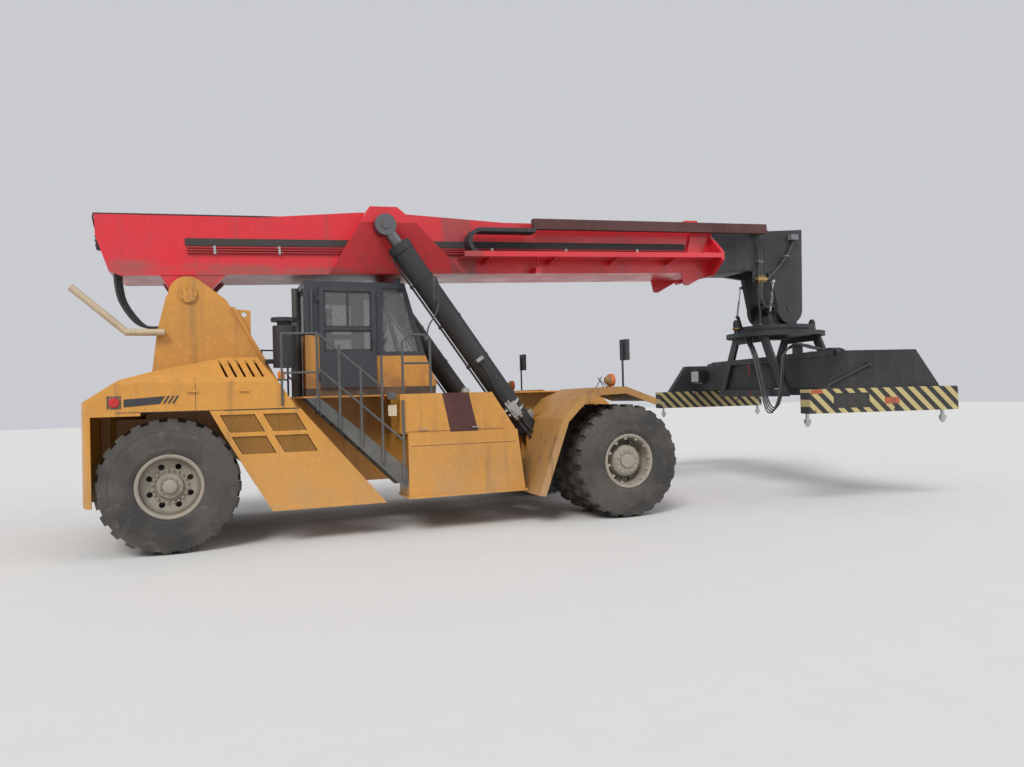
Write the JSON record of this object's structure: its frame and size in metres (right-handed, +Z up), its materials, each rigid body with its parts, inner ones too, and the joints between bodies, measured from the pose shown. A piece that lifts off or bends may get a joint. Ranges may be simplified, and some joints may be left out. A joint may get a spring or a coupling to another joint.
{
  "type": "reach stacker",
  "caption": "Container handler with a telescopic boom over a central cab, lift cylinders, twin front wheels, steered rear wheels and a turning, telescoping spreader.",
  "frame": {"origin": "on the ground, at the middle of the whole object's length and width", "axes": "+X forward, towards the spreader; +Y to the driver's left; +Z up"},
  "size_m": [13.4455, 6.691, 4.7895],
  "materials": {
    "yellow_paint": "worn gloss",
    "dark_paint": "satin",
    "black_paint": "satin, sooty",
    "cast_iron": "rough",
    "beige_tube": "dusty",
    "brown_steel": "rusty",
    "black_plastic": "matte",
    "seat_fabric": "woven",
    "glass": "clear",
    "tyre_rubber": "matte",
    "rim_paint": "dusty",
    "red_paint": "gloss",
    "rod_steel": "polished"
  },
  "bodies": {
    "chassis": {"chassis_frame": "yellow_paint", "tower": "yellow_paint", "counterweight": "yellow_paint", "hood": "yellow_paint", "side_panel_right": "yellow_paint", "side_panel_left": "yellow_paint", "deck": "yellow_paint", "tank_right": "yellow_paint", "tank_left": "yellow_paint", "fender_right": "yellow_paint", "fender_left": "yellow_paint", "cab_lower": "yellow_paint", "drive_axle": "dark_paint", "steer_axle": "dark_paint", "stairs_right": "dark_paint", "stairs_left": "dark_paint", "exhaust": "dark_paint", "console": "dark_paint", "air_cleaner": "black_paint", "cab_frame": "black_paint", "engine_block": "cast_iron", "hose_guard": "beige_tube", "mirror_right": "black_plastic", "mirror_left": "black_plastic", "seat": "seat_fabric", "cab_glass": "glass"},
    "knuckle_right": {"knuckle_right": "dark_paint"},
    "knuckle_left": {"knuckle_left": "dark_paint"},
    "rear_wheel_right": {"rear_tyre_right": "tyre_rubber", "rear_rim_right": "rim_paint"},
    "rear_wheel_left": {"rear_tyre_left": "tyre_rubber", "rear_rim_left": "rim_paint"},
    "front_wheels_right": {"front_tyres_right": "tyre_rubber", "front_rim_right": "rim_paint"},
    "front_wheels_left": {"front_tyres_left": "tyre_rubber", "front_rim_left": "rim_paint"},
    "cab_door_right": {"door_right": "black_paint", "door_glass_right": "glass"},
    "cab_door_left": {"door_left": "black_paint", "door_glass_left": "glass"},
    "outer_boom": {"boom_outer": "red_paint", "lift_bracket": "red_paint", "energy_chain": "black_paint"},
    "inner_boom": {"boom_inner": "black_paint", "carrier_bar": "brown_steel"},
    "cylinder_right": {"lift_barrel_right": "black_paint"},
    "cylinder_left": {"lift_barrel_left": "black_paint"},
    "rod_right": {"lift_rod_right": "rod_steel"},
    "rod_left": {"lift_rod_left": "rod_steel"},
    "tilt_hanger": {"hanger": "black_paint"},
    "slewing": {"slew_platform": "black_paint"},
    "main_beam": {"spreader_beam": "black_paint"},
    "telescope_right": {"arm_right": "black_paint"},
    "telescope_left": {"arm_left": "black_paint"},
    "lock_right_rear": {"twistlock_right_rear": "rod_steel"},
    "lock_right_front": {"twistlock_right_front": "rod_steel"},
    "lock_left_rear": {"twistlock_left_rear": "rod_steel"},
    "lock_left_front": {"twistlock_left_front": "rod_steel"}
  },
  "joints": [
    {"name": "steer_right", "type": "hinge", "parent": "chassis", "child": "knuckle_right", "pos_m": [-5.53, -1.19, 0.808], "axis": [0, 0, 1], "range_deg": [-45, 45]},
    {"name": "rear_wheel_spin_right", "type": "hinge", "parent": "knuckle_right", "child": "rear_wheel_right", "pos_m": [-5.53, -1.39, 0.808], "axis": [0, 1, 0], "continuous": true},
    {"name": "front_wheel_spin_right", "type": "hinge", "parent": "chassis", "child": "front_wheels_right", "pos_m": [0.47, -1.475, 0.808], "axis": [0, 1, 0], "continuous": true},
    {"name": "door_swing_right", "type": "hinge", "parent": "chassis", "child": "cab_door_right", "pos_m": [-3.655, -0.732, 2.66], "axis": [0, 0, -1], "range_deg": [0, 95]},
    {"name": "cylinder_swing_right", "type": "hinge", "parent": "chassis", "child": "cylinder_right", "pos_m": [-0.58, -1, 1.16], "axis": [0, -1, 0], "range_deg": [-0.2, 4.4]},
    {"name": "rod_slide_right", "type": "slide", "parent": "cylinder_right", "child": "rod_right", "axis": [-0.5779, 0, 0.8161], "range_m": [-0.103, 2.68]},
    {"name": "steer_left", "type": "hinge", "parent": "chassis", "child": "knuckle_left", "pos_m": [-5.53, 1.19, 0.808], "axis": [0, 0, 1], "range_deg": [-45, 45]},
    {"name": "rear_wheel_spin_left", "type": "hinge", "parent": "knuckle_left", "child": "rear_wheel_left", "pos_m": [-5.53, 1.39, 0.808], "axis": [0, 1, 0], "continuous": true},
    {"name": "front_wheel_spin_left", "type": "hinge", "parent": "chassis", "child": "front_wheels_left", "pos_m": [0.47, 1.475, 0.808], "axis": [0, 1, 0], "continuous": true},
    {"name": "door_swing_left", "type": "hinge", "parent": "chassis", "child": "cab_door_left", "pos_m": [-3.655, 0.732, 2.66], "axis": [0, 0, 1], "range_deg": [0, 95]},
    {"name": "cylinder_swing_left", "type": "hinge", "parent": "chassis", "child": "cylinder_left", "pos_m": [-0.58, 1, 1.16], "axis": [0, -1, 0], "range_deg": [-0.2, 4.4]},
    {"name": "rod_slide_left", "type": "slide", "parent": "cylinder_left", "child": "rod_left", "axis": [-0.5779, 0, 0.8161], "range_m": [-0.103, 2.68]},
    {"name": "boom_lift", "type": "hinge", "parent": "chassis", "child": "outer_boom", "pos_m": [-5.3, 0, 3.23], "axis": [0, -1, 0], "range_deg": [-2.2, 57.8]},
    {"name": "boom_extend", "type": "slide", "parent": "outer_boom", "child": "inner_boom", "axis": [0.9993, 0, 0.0384], "range_m": [-0.85, 6]},
    {"name": "hanger_tilt", "type": "hinge", "parent": "inner_boom", "child": "tilt_hanger", "pos_m": [4.91, 0, 3.25], "axis": [0, 1, 0], "range_deg": [-2.2, 57.8]},
    {"name": "spreader_turn", "type": "hinge", "parent": "tilt_hanger", "child": "slewing", "pos_m": [4.91, 0, 2.8], "axis": [0, 0, -1], "range_deg": [-117.1, 182.9]},
    {"name": "side_shift", "type": "slide", "parent": "slewing", "child": "main_beam", "axis": [0.2096, 0.9778, 0], "range_m": [-0.8, 0.8]},
    {"name": "telescope_left_slide", "type": "slide", "parent": "main_beam", "child": "telescope_left", "axis": [0.2096, 0.9778, 0], "range_m": [0, 3.05]},
    {"name": "telescope_right_slide", "type": "slide", "parent": "main_beam", "child": "telescope_right", "axis": [-0.2096, -0.9778, 0], "range_m": [0, 3.05]},
    {"name": "lock_turn_right_rear", "type": "hinge", "parent": "telescope_right", "child": "lock_right_rear", "pos_m": [3.19204, -2.62521, 1.3], "axis": [0, 0, 1], "range_deg": [0, 90]},
    {"name": "lock_turn_right_front", "type": "hinge", "parent": "telescope_right", "child": "lock_right_front", "pos_m": [5.40085, -3.09874, 1.3], "axis": [0, 0, 1], "range_deg": [0, 90]},
    {"name": "lock_turn_left_rear", "type": "hinge", "parent": "telescope_left", "child": "lock_left_rear", "pos_m": [4.41915, 3.09874, 1.3], "axis": [0, 0, 1], "range_deg": [0, 90]},
    {"name": "lock_turn_left_front", "type": "hinge", "parent": "telescope_left", "child": "lock_left_front", "pos_m": [6.62796, 2.62521, 1.3], "axis": [0, 0, 1], "range_deg": [0, 90]}
  ],
  "couplings": [
    {"joint": "steer_left", "follows": "steer_right", "ratio": 1},
    {"joint": "telescope_right_slide", "follows": "telescope_left_slide", "ratio": 1},
    {"joint": "cylinder_swing_right", "follows": "boom_lift", "ratio": 0.075},
    {"joint": "rod_slide_right", "follows": "boom_lift", "m_per_rad": 2.65},
    {"joint": "cylinder_swing_left", "follows": "boom_lift", "ratio": 0.075},
    {"joint": "rod_slide_left", "follows": "boom_lift", "m_per_rad": 2.65},
    {"joint": "lock_turn_right_front", "follows": "lock_turn_right_rear", "ratio": 1},
    {"joint": "lock_turn_left_front", "follows": "lock_turn_left_rear", "ratio": 1}
  ]
}
